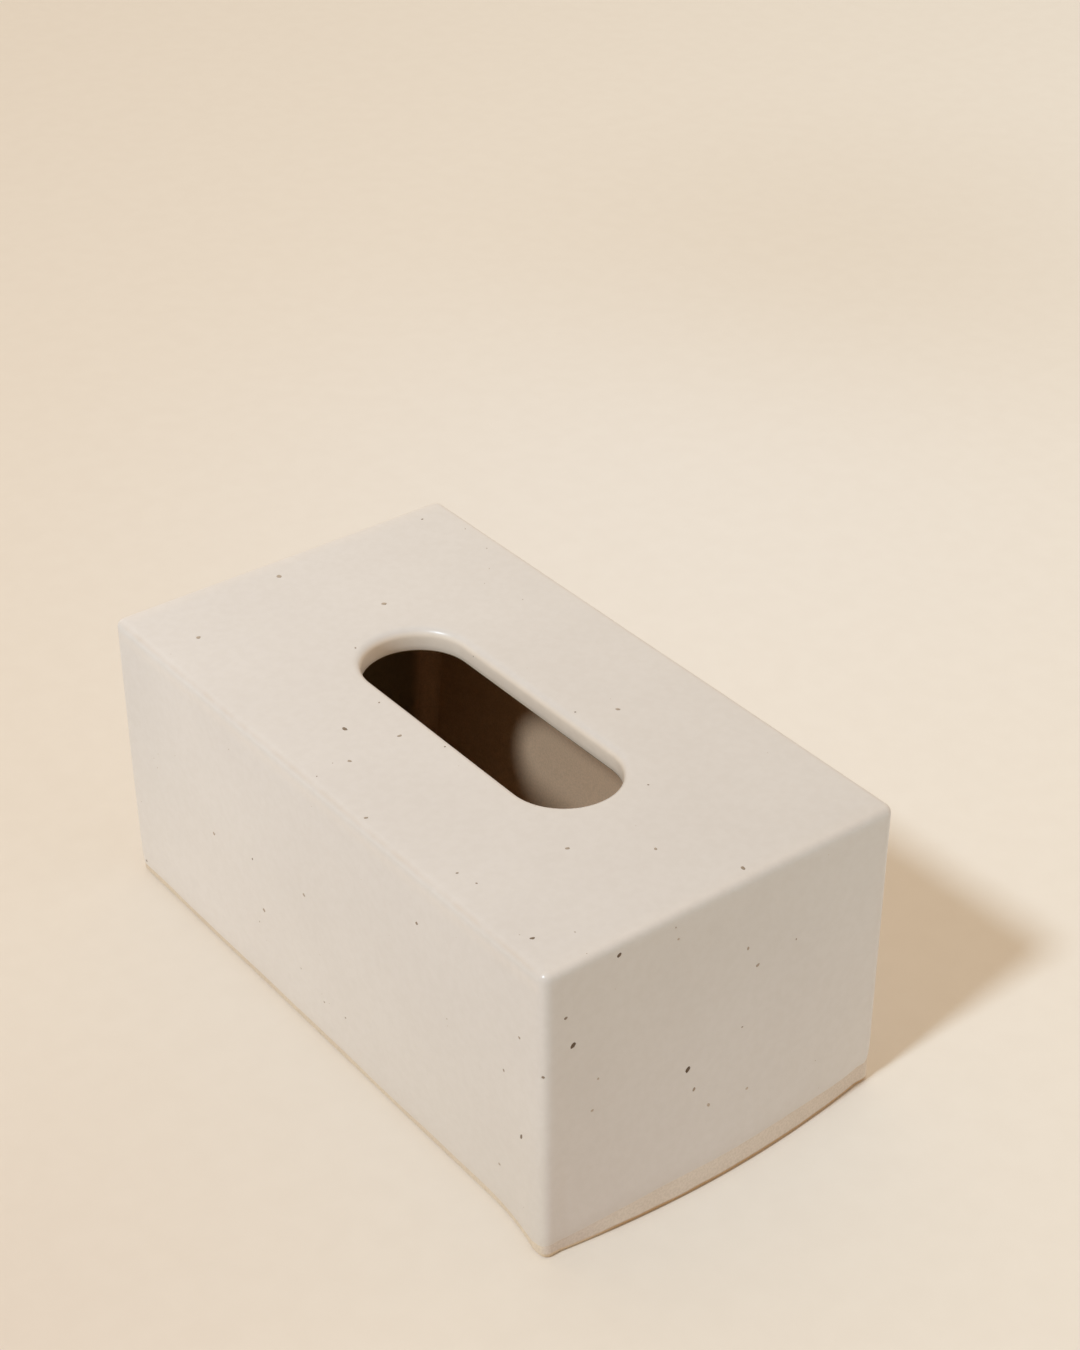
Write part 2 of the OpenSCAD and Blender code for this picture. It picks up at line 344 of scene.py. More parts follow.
def ring_of_faces(low, high, count):
    """The quads between two rings of points, given by the number of each ring's first point."""
    return [(low + i, low + (i + 1) % count, high + (i + 1) % count, high + i) for i in range(count)]


def spread_over(low, high, count):
    """Even steps from low to high, both ends included."""
    return [low + (high - low) * i / count for i in range(count + 1)]


# How finely a round edge, a wall's height, and a long and an end wall's length are divided
round_steps, wall_steps, long_columns, end_columns = 6, 40, 72, 40
quarter = spread_over(0.0, math.pi / 2, round_steps)
wall_rows = [(foot_r * (1 - math.cos(a)), foot_r * (1 - math.sin(a))) for a in quarter]
wall_rows += [(z, 0.0) for z in spread_over(foot_r, seam_z, wall_steps)[1:]]


def make_wall_slab(name, run, far, columns, turn):
    """One slab, standing straight on its foot with its outside facing the front, then turned to its side of
    the box. Run is half its length on the inside, and far is how far its outside is from the middle."""
    mitre = math.pi / 4
    arc = spread_over(0.0, mitre, round_steps)
    points, inside = [], []
    for z, sponged in wall_rows:
        r, reach = corner_r - sponged, run + slab_t - corner_r
        outer = [(-reach - r * math.cos(mitre + a), -far + corner_r - r * math.sin(mitre + a)) for a in arc]
        outer += [(x, -far + sponged) for x in spread_over(-reach, reach, columns)[1:-1]]
        outer += [(reach + r * math.sin(a), -far + corner_r - r * math.cos(a)) for a in arc]
        inner = spread_over(run + sponged, -run - sponged, len(outer) - 1)
        points += [(x, y, z) for x, y in outer]
        points += [(x, -far + slab_t - sponged, z) for x in inner]
        inside += [0.0] * len(outer) + [1.0] * len(inner)
    wide = len(outer)
    around = 2 * wide
    faces = []
    for row in range(len(wall_rows) - 1):
        faces += ring_of_faces(row * around, (row + 1) * around, around)
    for low in (0, (len(wall_rows) - 1) * around):
        faces += [(low + i, low + i + 1, low + around - 2 - i, low + around - 1 - i) for i in range(wide - 1)]
    points = [Matrix.Rotation(math.radians(turn), 3, "Z") @ Vector(p) for p in points]
    slab = make_piece(name, points, faces, {"inside": inside})
    dressed_with(slab, drying_warp, {"Material": bare_clay})
    return slab


for name, run, far, columns, turn in (
    ("front_wall", inner_l, half_w, long_columns, 0), ("right_end_wall", inner_w, half_l, end_columns, 90),
    ("back_wall", inner_l, half_w, long_columns, 180), ("left_end_wall", inner_w, half_l, end_columns, 270),
):
    slab = make_wall_slab(name + "_slab", run, far, columns, turn)
    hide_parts(name)
    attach(slab, "root")


# The coils: thin rolls of soft clay pressed into every inside seam and smoothed to a cove with a fingertip,
# four up the corners and four under the top slab. The same clay as the slabs.
cove_steps, cove_fullness = 8, 0.4
sunk = 0.0003  # how deep its back is pressed into the slabs
coil_section = [(-sunk, -sunk), (coil_leg, -sunk), (coil_leg, 0)]
for i in range(1, cove_steps):
    t = i / cove_steps
    full = cove_fullness * t * (1 - t)
    coil_section.append((coil_leg * ((1 - t) ** 2 + full), coil_leg * (t * t + full)))
coil_section += [(0, coil_leg), (-sunk, coil_leg)]


def build_coil():
    """A coil from start to end along a seam. Its section lies in the two directions that run out from the
    seam along the slabs, and a fingertip has left it a little wavy."""
    tree, given = start_tree("pressed_coil", [
        ("Start", "Vector", None), ("End", "Vector", None),
        ("Along first slab", "Vector", None), ("Along second slab", "Vector", None),
        ("Step", "Float", 0.0025), ("Finger marks", "Float", 0.0007), ("Finger mark size", "Float", 0.011),
        ("Seed", "Float", 0.0), ("Material", "Material", None),
    ])

    def kept(geometry, name):
        """A geometry whose points remember where they are now, and that memory."""
        node = add_node(tree, "GeometryNodeCaptureAttribute", {0: geometry})
        node.capture_items.new("VECTOR", name)
        tree.links.new(add_node(tree, "GeometryNodeInputPosition").outputs[0], node.inputs[1])
        return node.outputs[0], node.outputs[1]

    section = add_node(tree, "GeometryNodeMeshToCurve", {0: given["Geometry"]}).outputs[0]
    section, in_section = kept(section, "section")
    seam = add_node(tree, "GeometryNodeCurvePrimitiveLine", {0: given["Start"], 1: given["End"]}).outputs[0]
    seam = add_node(tree, "GeometryNodeResampleCurve", {0: seam, "Length": given["Step"]}, mode="LENGTH")
    seam, on_seam = kept(seam.outputs[0], "seam")
    coil = add_node(tree, "GeometryNodeCurveToMesh", {0: seam, 1: section, "Fill Caps": True}).outputs[0]
    marks = marks_along(tree, on_seam, given["Finger mark size"], given["Seed"])[0]
    out_first, out_second, _ = parts_of(tree, in_section)
    # Only the cove itself is wavy, most at its middle
    hollow = times(tree, worked(tree, "MAXIMUM", out_first, 0.0), worked(tree, "MAXIMUM", out_second, 0.0))
    hollow = worked(tree, "MINIMUM", over(tree, hollow, coil_leg ** 2 / 9), 1.0)
    marks = times(tree, times(tree, less(tree, marks, 0.5), given["Finger marks"]), hollow)
    place = on_seam
    for way, reach in (("Along first slab", out_first), ("Along second slab", out_second)):
        step = vector_worked(tree, "SCALE", given[way], Scale=plus(tree, reach, marks))
        place = vector_worked(tree, "ADD", place, step)
    coil = add_node(tree, "GeometryNodeSetPosition", {0: coil, "Position": place}).outputs[0]
    return end_tree(tree, coil, given["Material"])


pressed_coil = build_coil()


def make_coil(name, start, end, first, second, seed):
    """One coil, pressed along its seam and then warped with the walls. First and second are the ways that
    its section runs out along the two slabs."""
    mesh = bpy.data.meshes.new(name)
    count = len(coil_section)
    mesh.from_pydata([(u, v, 0) for u, v in coil_section], [(i, (i + 1) % count) for i in range(count)], [])
    coil = bpy.data.objects.new(name, mesh)
    scene.collection.objects.link(coil)
    dressed_with(coil, pressed_coil, {
        "Start": start, "End": end, "Along first slab": first, "Along second slab": second,
        "Seed": seed, "Material": bare_clay,
    })
    dressed_with(coil, drying_warp, {"Material": bare_clay})
    smoothed(coil.data, merged=True)
    inside = coil.data.attributes.new("inside", "FLOAT", "POINT")
    inside.data.foreach_set("value", [1.0] * len(coil.data.vertices))
    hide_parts(name.replace("_clay", ""))
    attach(coil, "root")


downward = (0, 0, -1)
coil_foot_z, coil_head_z = 0.0125, seam_z + sunk
for number, (corner, side_x, side_y) in enumerate((
    ("front_left", -1, -1), ("front_right", 1, -1), ("back_left", -1, 1), ("back_right", 1, 1),
)):
    foot = (side_x * inner_l, side_y * inner_w, coil_foot_z)
    head = (side_x * inner_l, side_y * inner_w, coil_head_z)
    make_coil(f"corner_coil_{corner}_clay", foot, head, (-side_x, 0, 0), (0, -side_y, 0), 10.0 + number)
for number, (side, x, y) in enumerate((("front", 0, -1), ("back", 0, 1), ("left", -1, 0), ("right", 1, 0))):
    start = (x * inner_l if x else -inner_l - sunk, y * inner_w if y else -inner_w - sunk, seam_z)
    end = (x * inner_l if x else inner_l + sunk, y * inner_w if y else inner_w + sunk, seam_z)
    make_coil(f"seam_coil_{side}_clay", start, end, (-x, -y, 0), downward, 20.0 + number)


# The top slab: a rolled slab laid on the four walls, with a long round-ended slot cut through it a little to
# the right of the middle. Its outer edge and the slot are sponged round, and the cut has pushed the slot's
# lower edge down a little.
edge_r, slot_edge_r = 0.0025, 0.0027
slot_roll, roll_flat, roll_reach = 0.002, 0.0015, 0.004
slot_l, slot_w, slot_x, slot_y = 0.124, 0.04, 0.004, -0.001
# How finely the top, the upright edge of the slot and the underside are divided
top_steps, upright_steps, under_steps = 14, 5, 10


def lines_round_the_box():
    """The upright lines round the outside of the clay, from the left end of the front wall: where each
    stands, which way it faces, and where it meets the slot's middle line and faces out of the slot."""
    lines = []
    long_run, end_run = half_l - corner_r, half_w - corner_r
    long_side, end_side = (long_run, half_w, long_columns), (end_run, half_l, end_columns)
    for side, (run, far, columns) in enumerate((long_side, end_side, long_side, end_side)):
        turn = Matrix.Rotation(math.pi / 2 * side, 2)
        steps = [(x, 0.0) for x in spread_over(-run, run, columns)]
        steps += [(run, bend) for bend in quarter[1:-1]]
        for x, bend in steps:
            facing = Vector((math.sin(bend), -math.cos(bend)))
            place = Vector((x, -far + corner_r)) + corner_r * facing
            lines.append((turn @ place, turn @ facing))
    per_half = len(lines) // 2
    on_straight = long_columns + 1
    slot_lines = []
    for number in range(len(lines)):
        half_turn = -1 if number >= per_half else 1
        step = number % per_half
        if step < on_straight:
            middle, bend = Vector(((2 * step / long_columns - 1) * (slot_l - slot_w) / 2, 0)), -math.pi / 2
        else:
            middle = Vector(((slot_l - slot_w) / 2, 0))
            bend = -math.pi / 2 + math.pi * (step - on_straight + 1) / (per_half - on_straight + 1)
        away = Vector((math.cos(bend), math.sin(bend)))
        slot_lines.append((Vector((slot_x, slot_y)) + half_turn * middle, half_turn * away))
    return [(*line, *slot_line) for line, slot_line in zip(lines, slot_lines)]


box_lines = lines_round_the_box()


def box_ring(depth, z):
    """A ring of points round the box, at a depth under the outside of the clay."""
    return [(*(place - depth * facing), z) for place, facing, _, _ in box_lines]


def slot_ring(reach, z):
    """A ring of points round the slot, at a distance from its middle line."""
    return [(*(middle + reach * away), z) for _, _, middle, away in box_lines]


def between_rings(outer, inner, count):
    """The rings that lie between two rings, without those two."""
    return [
        [tuple(Vector(a).lerp(Vector(b), i / count)) for a, b in zip(outer, inner)] for i in range(1, count)
    ]


def closed_shell(rings):
    """The points and faces of a shell made of rings of points in turn, where the last leads to the first."""
    count = len(rings[0])
    faces = []
    for i in range(len(rings)):
        faces += ring_of_faces(i * count, (i + 1) % len(rings) * count, count)
    return [point for ring in rings for point in ring], faces


def top_rings(coat):
    """Rings in over the sponged edge of the top, across it, and down round the edge of the slot, at a height
    over the clay."""
    rings = [
        box_ring(edge_r - (edge_r + coat) * math.cos(a), clay_top - edge_r + (edge_r + coat) * math.sin(a))
        for a in quarter
    ]
    slot_rings = [
        slot_ring(
            slot_w / 2 + glaze_t + slot_edge_r - (slot_edge_r + coat) * math.sin(a),
            clay_top - slot_edge_r + (slot_edge_r + coat) * math.cos(a),
        )
        for a in quarter
    ]
    return rings + between_rings(rings[-1], slot_rings[0], top_steps) + slot_rings


def make_top_slab():
    """The slab from its outer lower edge over the top, down through the slot and back along its underside."""
    rings = [box_ring(0, seam_z)] + top_rings(0)
    upright = spread_over(clay_top - slot_edge_r, seam_z - slot_roll, upright_steps)[1:]
    rings += [slot_ring(slot_w / 2 + glaze_t, z) for z in upright]
    rings.append(slot_ring(slot_w / 2 + roll_flat, seam_z - slot_roll))
    rings.append(slot_ring(slot_w / 2 + roll_reach, seam_z))
    rings += between_rings(rings[-1], rings[0], under_steps)
    points, faces = closed_shell(rings)
    slab = make_piece("top_slab_clay", points, faces, {"inside": [1.0] * len(points)})
    dressed_with(slab, drying_warp, {"Material": bare_clay})
    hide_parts("top_slab")
    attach(slab, "root")


make_top_slab()


# The glaze: a satin off-white coat about half a millimetre thick, poured over the box and wiped back from
# the foot, so it ends in a soft, uneven line. It lies over the top and into the slot. Where it runs thin over
# an edge the warm clay shows through it.
# The height of its wiped edge along the long walls, at the near corner and at the middle of the right end,
# over what lengths it climbs to the last two, how much of that rise the left end has, and how it wavers
bare_foot, bare_corner, bare_end_foot = 0.0037, 0.0058, 0.0092
back_climb, corner_climb, left_end_share = 0.05, 0.016, 0.6
waver, waver_size = 0.0005, 0.022


def glaze_line(place):
    """How high the wiped edge of the glaze is, at a place in plan."""
    swell = max(0.0, 1 - (place.y / inner_w) ** 2)
    # The right end, the right half of the back, the right half of the front, the left end, and the rest
    if place.x > 0 and abs(place.y) < half_w - corner_r:
        risen = min(1.0, swell ** 1.5 * 1.3 + max(0.0, place.y / inner_w) ** 3)
        high = bare_corner + (bare_end_foot - bare_corner) * risen
    elif place.x > 0 and place.y > 0:
        high = bare_foot + (bare_end_foot - bare_foot) * max(0.0, 1 - (inner_l - place.x) / back_climb)
    elif place.x > 0:
        near = max(0.0, 1 - (half_l - place.x) / corner_climb)
        high = bare_foot + (bare_corner - bare_foot) * near ** 2
    elif abs(place.y) < half_w - corner_r:
        high = bare_foot + (bare_end_foot - bare_foot) * left_end_share * swell
    else:
        high = bare_foot
    return high + waver * noise.noise(Vector((place.x, place.y, 0.3)) / waver_size)


# Up to which share of a side's height the coat thickens and lets the clay through, and how much painted light
# the slot's edge gets, ring by ring
wipe_fade, wipe_thin = 0.07, 0.03
slot_painted_light = (0.0, 0.0, 0.0, 0.7, 2.8, 4.8)


def peaked(value, middle, reach):
    """One at the middle, falling evenly to nothing at a reach from it."""
    return max(0.0, 1 - abs(value - middle) / reach)


def make_glaze():
    """The skin: rings up the sides, over the top and into the slot, then back under itself to close."""
    count = len(box_lines)
    lines = [glaze_line(place) for place, _, _, _ in box_lines]
    shoulder = clay_top - edge_r
    # How far up the side and down the slot the rings lie
    shares = [0, 0.003, 0.007, 0.012, 0.02, 0.03, 0.045, 0.065, 0.09] + spread_over(0.12, 0.92, 26)
    shares += [0.935, 0.95, 0.965, 0.98, 1.0]
    slot_shares, bare_lip, pressed_in = (0.3, 0.6, 0.85, 1.0), 0.0003, 0.00005

    def coat_rings(coat):
        """Rings from the wiped edge up, over the top and down into the slot, at a height over the clay."""
        rings = []
        for share in shares[:-1]:
            # The coat thickens from nothing at its wiped edge
            there = coat * (1 - (1 - min(1.0, share / wipe_fade)) ** 2) if coat > 0 else coat
            rings.append([
                (*(place + there * facing), line + share * (shoulder - line))
                for (place, facing, _, _), line in zip(box_lines, lines)
            ])
        rings += top_rings(coat)
        lip = seam_z - slot_roll + bare_lip
        for share in slot_shares:
            # It thins again towards the slot's lower edge
            there = coat * (1 - max(0.0, share - 0.6) ** 2 * 5) if coat > 0 else coat
            z = clay_top - slot_edge_r + share * (lip - clay_top + slot_edge_r)
            rings.append(slot_ring(slot_w / 2 + glaze_t - there, z))
        return rings

    outside, under_skin = coat_rings(glaze_t), coat_rings(-pressed_in)
    rings = outside + under_skin[::-1]
    points, faces = closed_shell(rings)
    # Where the coat runs thin: at its wiped line and over the sponged edge. Painted light: the coat is
    # painted lighter and warmer on the long sides just under the sponged edge, on that edge's rounding and
    # round the slot, where the light falls on them.
    first_round, first_slot = len(shares) - 1, len(outside) - len(quarter) - len(slot_shares)
    painted_light_row, round_reach = 4.6, 2.2
    thin, painted_light = [], []
    for number in range(len(rings)):
        row = number if number < len(outside) else len(rings) - 1 - number
        for (place, facing, _, _), line in zip(box_lines, lines):
            on_long = abs(facing.y) > 0.99
            thin_here, painted_light_here = 0.0, 0.0
            if row < first_round:
                thin_here = peaked(shares[row], 0.0, wipe_thin) * 0.12
                under_edge = (1 - shares[row]) * (shoulder - line)
                painted_light_here = peaked(under_edge, 0.0015, 0.0045) * (0.6 if on_long else 0.0)
            elif row < first_round + len(quarter):
                up_round = row - first_round
                thinnest, most = (3.0, 0.6) if on_long else (2.0, 0.25)
                thin_here = peaked(up_round, thinnest, round_reach) * most
                painted_light_here = peaked(up_round, painted_light_row, round_reach) * (0.2 if on_long else 1.0)
            elif row >= first_slot:
                painted_light_here = slot_painted_light[min(row - first_slot, len(slot_painted_light) - 1)]
            thin.append(thin_here)
            painted_light.append(painted_light_here)
    on_outside = [1.0] * len(outside) * count + [0.0] * len(under_skin) * count
    return make_piece("glaze_skin", points, faces, {"thin": thin, "painted_light": painted_light, "outside": on_outside})


def make_satin_glaze():
    """Off-white satin glaze, cloudy at large and small scale, with a softly uneven surface, and painted light
    and shade over its sides and edges.
    """
    material, tree, shader = start_material("satin_glaze")
    white = clouded(tree, (0.711, 0.689, 0.679), (0.731, 0.711, 0.702), 0.06, 3.0)
    white = tinted(tree, white, clouded(tree, (0.985, 0.983, 0.98), (1.012, 1.013, 1.015), 0.003, 3.0, 2.0))
    x, y, z = parts_of(tree, place_on_piece(tree))
    along, across, high = [
        ranged(tree, way, low, top, shape="LINEAR")
        for way, low, top in ((x, -0.128, 0.128), (y, -0.072, 0.072), (z, 0.0, 0.12))
    ]

    def painted_light_tones(*drifts):
        """Painted light and shade: the coat's tone drifts a little over each side, from one tint to another
        along each way.
        """
        tone = (1, 1, 1)
        for share, first, last in drifts:
            tone = tinted(tree, tone, mixed(tree, share, first, last))
        return tone

    def painted_light_near_foot(tone, height, first, last, share):
        """Painted light and shade tints that come in only towards the foot."""
        low_down = mixed(tree, share, first, last)
        return tinted(tree, tone, mixed(tree, ranged(tree, z, height, 0.01), (1, 1, 1), low_down))

    # Painted light and shade on the front, the right end and the top, each laid on its side by where it lies
    front = painted_light_tones(
        (along, (1.007, 1.01, 1.02), (1.045, 1.02, 0.988)),
        (high, (0.998, 0.987, 0.966), (1.002, 1.013, 1.034)),
        (ranged(tree, x, -0.128, -0.08, shape="LINEAR"), (0.932, 0.937, 0.937), (1, 1, 1)),
    )
    front = painted_light_near_foot(front, 0.08, (1.04, 1.035, 1.037), (0.982, 0.977, 0.965), along)
    end = painted_light_tones(
        (across, (0.967, 0.953, 0.943), (1.033, 1.047, 1.057)),
        (high, (1.041, 1.021, 1.016), (0.959, 0.979, 0.984)),
    )
    end = painted_light_near_foot(end, 0.06, (0.99, 0.978, 0.968), (1.02, 1.03, 1.022), across)
    top = painted_light_tones(
        (along, (0.984, 0.975, 0.989), (1.032, 1.003, 0.987)),
        (across, (1.026, 1.028, 1.035), (0.974, 0.972, 0.965)),
    )
    tone = mixed(tree, ranged(tree, x, 0.1262, 0.1278), front, end)
    tone = mixed(tree, ranged(tree, z, 0.1155, 0.1175), tone, top)
    white = tinted(tree, white, tone)
    # Painted light and shade: the whole coat is painted lighter towards the left end and darker towards the
    # right end
    white = tinted(tree, white, mixed(tree, along, (1.075, 1.07, 1.06), (0.925, 0.93, 0.94)))
    # Painted light makes the coat lighter and warmer, and thin glaze lets the clay through
    painted_light = vector_worked(tree, "SCALE", (0.064, 0.042, 0.013), Scale=attribute(tree, "painted_light"))
    white = tinted(tree, white, vector_worked(tree, "ADD", painted_light, (1, 1, 1)))
    patchy = ranged(tree, grain(tree, 0.007, 2.0, 6.0), 0.3, 0.7, 0.45, 1.0)
    thin = times(tree, attribute(tree, "thin"), patchy)
    white = mixed(tree, times(tree, thin, 0.6), white, (0.62, 0.51, 0.40))
    tree.links.new(white, shader.inputs["Base Color"])
    satin = ranged(tree, grain(tree, 0.012, 3.0, 8.0), 0.3, 0.7, 0.29, 0.36)
    tree.links.new(satin, shader.inputs["Roughness"])
    shader.inputs["IOR"].default_value = 1.52
    rippled, pitted = grain(tree, 0.008, 2.0, 1.0), grain(tree, 0.0012, 2.0, 5.0)
    height = plus(tree, rippled, times(tree, pitted, 0.12))
    tree.links.new(bump(tree, height, 0.0003, 0.5), shader.inputs["Normal"])
    return material


glaze_skin = make_glaze()
dressed_with(glaze_skin, drying_warp, {"Material": make_satin_glaze()})
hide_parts("glaze_coat")
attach(glaze_skin, "root")


# The iron specks: grains of iron in the clay that melt up through the glaze, dark brown where they are big
# and no more than a grey-brown blush where they are small. They lie flush in the glaze.
def make_iron():
    """Iron from near black to a blush, by the tone that is stored on each speck."""
    material, tree, shader = start_material("iron_speck")
    dark = mixed(tree, grain(tree, 0.0006, 2.0), (0.05, 0.028, 0.014), (0.13, 0.075, 0.035))
    faint = mixed(tree, grain(tree, 0.0006, 2.0, 3.0), (0.46, 0.38, 0.31), (0.56, 0.47, 0.39))
    tone = mixed(tree, attribute(tree, "tone"), faint, dark)
    tree.links.new(tone, shader.inputs["Base Color"])
    tree.links.new(ranged(tree, grain(tree, 0.001), 0.3, 0.7, 0.32, 0.5), shader.inputs["Roughness"])
    tree.links.new(bump(tree, grain(tree, 0.0005), 0.0001, 0.5), shader.inputs["Normal"])
    return material


iron_speck = make_iron()


def build_scatter():
    """Small specks scattered over the outside of the glaze: flattened grains lying in it, of many sizes."""
    tree, given = start_tree("scattered_specks", [
        ("Specks per square metre", "Float", 850.0), ("Smallest radius", "Float", 0.00014),
        ("Largest radius", "Float", 0.00058), ("Flatness", "Float", 0.3), ("Seed", "Int", 11),
        ("Material", "Material", None),
    ])

    def chance(low, high, step, vector=False):
        """A random number or vector for each speck. Each step draws its own."""
        seed = plus(tree, given["Seed"], float(step))
        first = 0 if vector else 2
        node = add_node(
            tree, "FunctionNodeRandomValue", {first: low, first + 1: high, "Seed": seed},
            data_type="FLOAT_VECTOR" if vector else "FLOAT",
        )
        return node.outputs[0 if vector else 1]

    outside = add_node(tree, "GeometryNodeInputNamedAttribute", {"Name": "outside"}, data_type="FLOAT")
    outside = worked(tree, "GREATER_THAN", outside.outputs[0], 0.9)
    scattered = add_node(tree, "GeometryNodeDistributePointsOnFaces", {
        0: given["Geometry"], "Selection": outside,
        "Density": given["Specks per square metre"], "Seed": given["Seed"],
    }, distribute_method="RANDOM")
    size = worked(tree, "POWER", chance(0.0, 1.0, 1), 2.5)
    smallest, largest = given["Smallest radius"], given["Largest radius"]
    radius = worked(tree, "MULTIPLY_ADD", size, less(tree, largest, smallest), smallest)
    scale = add_node(tree, "ShaderNodeCombineXYZ", {
        0: times(tree, radius, chance(0.9, 1.7, 2)), 1: radius,
        2: times(tree, radius, given["Flatness"]),
    }).outputs[0]
    spin = chance((0.0, 0.0, 0.0), (0.0, 0.0, 6.283), 3, vector=True)
    turned = add_node(
        tree, "FunctionNodeRotateRotation", {0: scattered.outputs["Rotation"], 1: spin},
        rotation_space="LOCAL",
    ).outputs[0]
    ball = add_node(tree, "GeometryNodeMeshIcoSphere", {"Radius": 1.0, "Subdivisions": 1}).outputs[0]
    ball = add_node(tree, "GeometryNodeSetShadeSmooth", {0: ball, "Shade Smooth": True}).outputs[0]
    specks = add_node(tree, "GeometryNodeInstanceOnPoints", {
        0: scattered.outputs["Points"], "Instance": ball, "Rotation": turned, "Scale": scale,
    }).outputs[0]
    tone = worked(tree, "MULTIPLY_ADD", size, 0.55, chance(0.0, 0.25, 4))
    specks = add_node(
        tree, "GeometryNodeStoreNamedAttribute", {0: specks, "Name": "tone", "Value": tone},
        domain="INSTANCE", data_type="FLOAT",
    ).outputs[0]
    return end_tree(tree, specks, given["Material"])


small_specks = bpy.data.objects.new("small_iron_specks", glaze_skin.data.copy())
scene.collection.objects.link(small_specks)
dressed_with(small_specks, build_scatter(), {"Material": iron_speck})
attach(small_specks, "root")

# The big specks: where they look to be, in millimetres, their length and width, how they are turned, and how
# dark they are. Each is then set into the nearest glaze.
big_specks = {
    "end": [
        (-15, 52.7, 2.4, 1.4, 60, 1.0), (-60.9, 86.4, 2.3, 1.6, 50, 1.0), (-43.3, 113, 1.7, 1.2, 40, 0.95),
        (-12.5, 43.2, 1.4, 1.0, 60, 0.6), (-63.8, 98.7, 1.2, 1.0, 0, 0.8), (14.2, 80.5, 1.4, 1.1, 20, 0.5),
        (9.8, 89.4, 1.2, 0.9, 90, 0.45), (-6.5, 33.7, 1.4, 1.0, 120, 0.12), (-53.5, 55.8, 1.0, 0.8, 0, 0.35),
        (10.2, 31.7, 1.1, 0.9, 0, 0.15), (-51.1, 67.7, 0.9, 0.8, 0, 0.3), (-19.7, 107.6, 0.9, 0.7, 0, 0.25),
    ],
    "front": [
        (115.5, 45.7, 2.3, 1.0, 70, 0.8), (61.2, 97, 1.3, 1.0, 30, 0.6), (68.5, 110.3, 1.3, 0.9, 120, 0.65),
        (106.5, 67, 1.2, 0.8, 100, 0.5), (-7.8, 65.3, 1.3, 1.0, 0, 0.35), (-37.3, 39.7, 1.5, 1.3, 0, 0.25),
        (-68.2, 55.5, 1.5, 1.2, 0, 0.2), (-111.7, 102.1, 1.8, 1.4, 0, 0.25),
        (118.2, 106.7, 1.2, 0.8, 90, 0.4), (126.7, 78, 1.0, 0.9, 0, 0.7), (115.3, 86.6, 1.0, 0.9, 0, 0.45),
        (101.3, 22.1, 1.1, 0.9, 0, 0.25),
    ],
    "top": [
        (-17.8, -45.3, 2.0, 1.3, 20, 0.75), (110, -62.9, 1.5, 1.0, 0, 0.8), (122.5, 10.8, 1.6, 1.1, 40, 0.6),
        (28.5, -68.2, 1.4, 0.9, 0, 0.45), (29.1, 35.6, 1.6, 1.2, 0, 0.35), (-3.1, -33, 1.6, 1.1, 20, 0.4),
        (-115.8, -8.8, 2.0, 1.5, 0, 0.2), (-1.1, -54.6, 1.4, 1.1, 0, 0.35), (-76.3, 11.1, 1.8, 1.4, 0, 0.22),
        (80.9, -26.7, 1.4, 1.0, 0, 0.4), (-97.7, -54.6, 1.8, 1.4, 0, 0.2), (98.1, -4.6, 1.2, 0.9, 0, 0.4),
    ],
}
mm = 0.001


def make_big_specks():
    """Each speck is a flat, ragged grain, a little wider than it looks, for its rim lies in the glaze."""
    half_share, flatness = 0.56, 0.12
    skin = BVHTree.FromObject(glaze_skin, bpy.context.evaluated_depsgraph_get())
    grown = bmesh.new()
    tone = grown.verts.layers.float.new("tone")
    for side, specks in big_specks.items():
        for number, (u, v, length, width, angle, dark) in enumerate(specks):
            guess = {
                "end": Vector((half_l + 0.004, u * mm, v * mm)), "front": Vector((u * mm, -half_w, v * mm)),
                "top": Vector((u * mm, v * mm, cover_h)),
            }[side]
            place, normal, _, _ = skin.find_nearest(guess)
            lying = normal.to_track_quat("Z", "Y").to_matrix().to_4x4()
            lying = Matrix.Translation(place) @ lying @ Matrix.Rotation(math.radians(angle), 4, "Z")
            ball = bmesh.ops.create_icosphere(grown, subdivisions=2, radius=1.0)["verts"]
            for point in ball:
                ragged = 1 + 0.35 * noise.noise(point.co * 1.3 + Vector((number, len(side), u)))
                point.co = lying @ Vector((
                    point.co.x * ragged * length * half_share * mm,
                    point.co.y * ragged * width * half_share * mm,
                    point.co.z * flatness * mm,
                ))
                point[tone] = dark ** 1.4
    for face in grown.faces:
        face.smooth = True
    mesh = bpy.data.meshes.new("big_iron_specks")
    grown.to_mesh(mesh)
    grown.free()
    mesh.materials.append(iron_speck)
    piece = bpy.data.objects.new("big_iron_specks", mesh)
    scene.collection.objects.link(piece)
    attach(piece, "root")


make_big_specks()


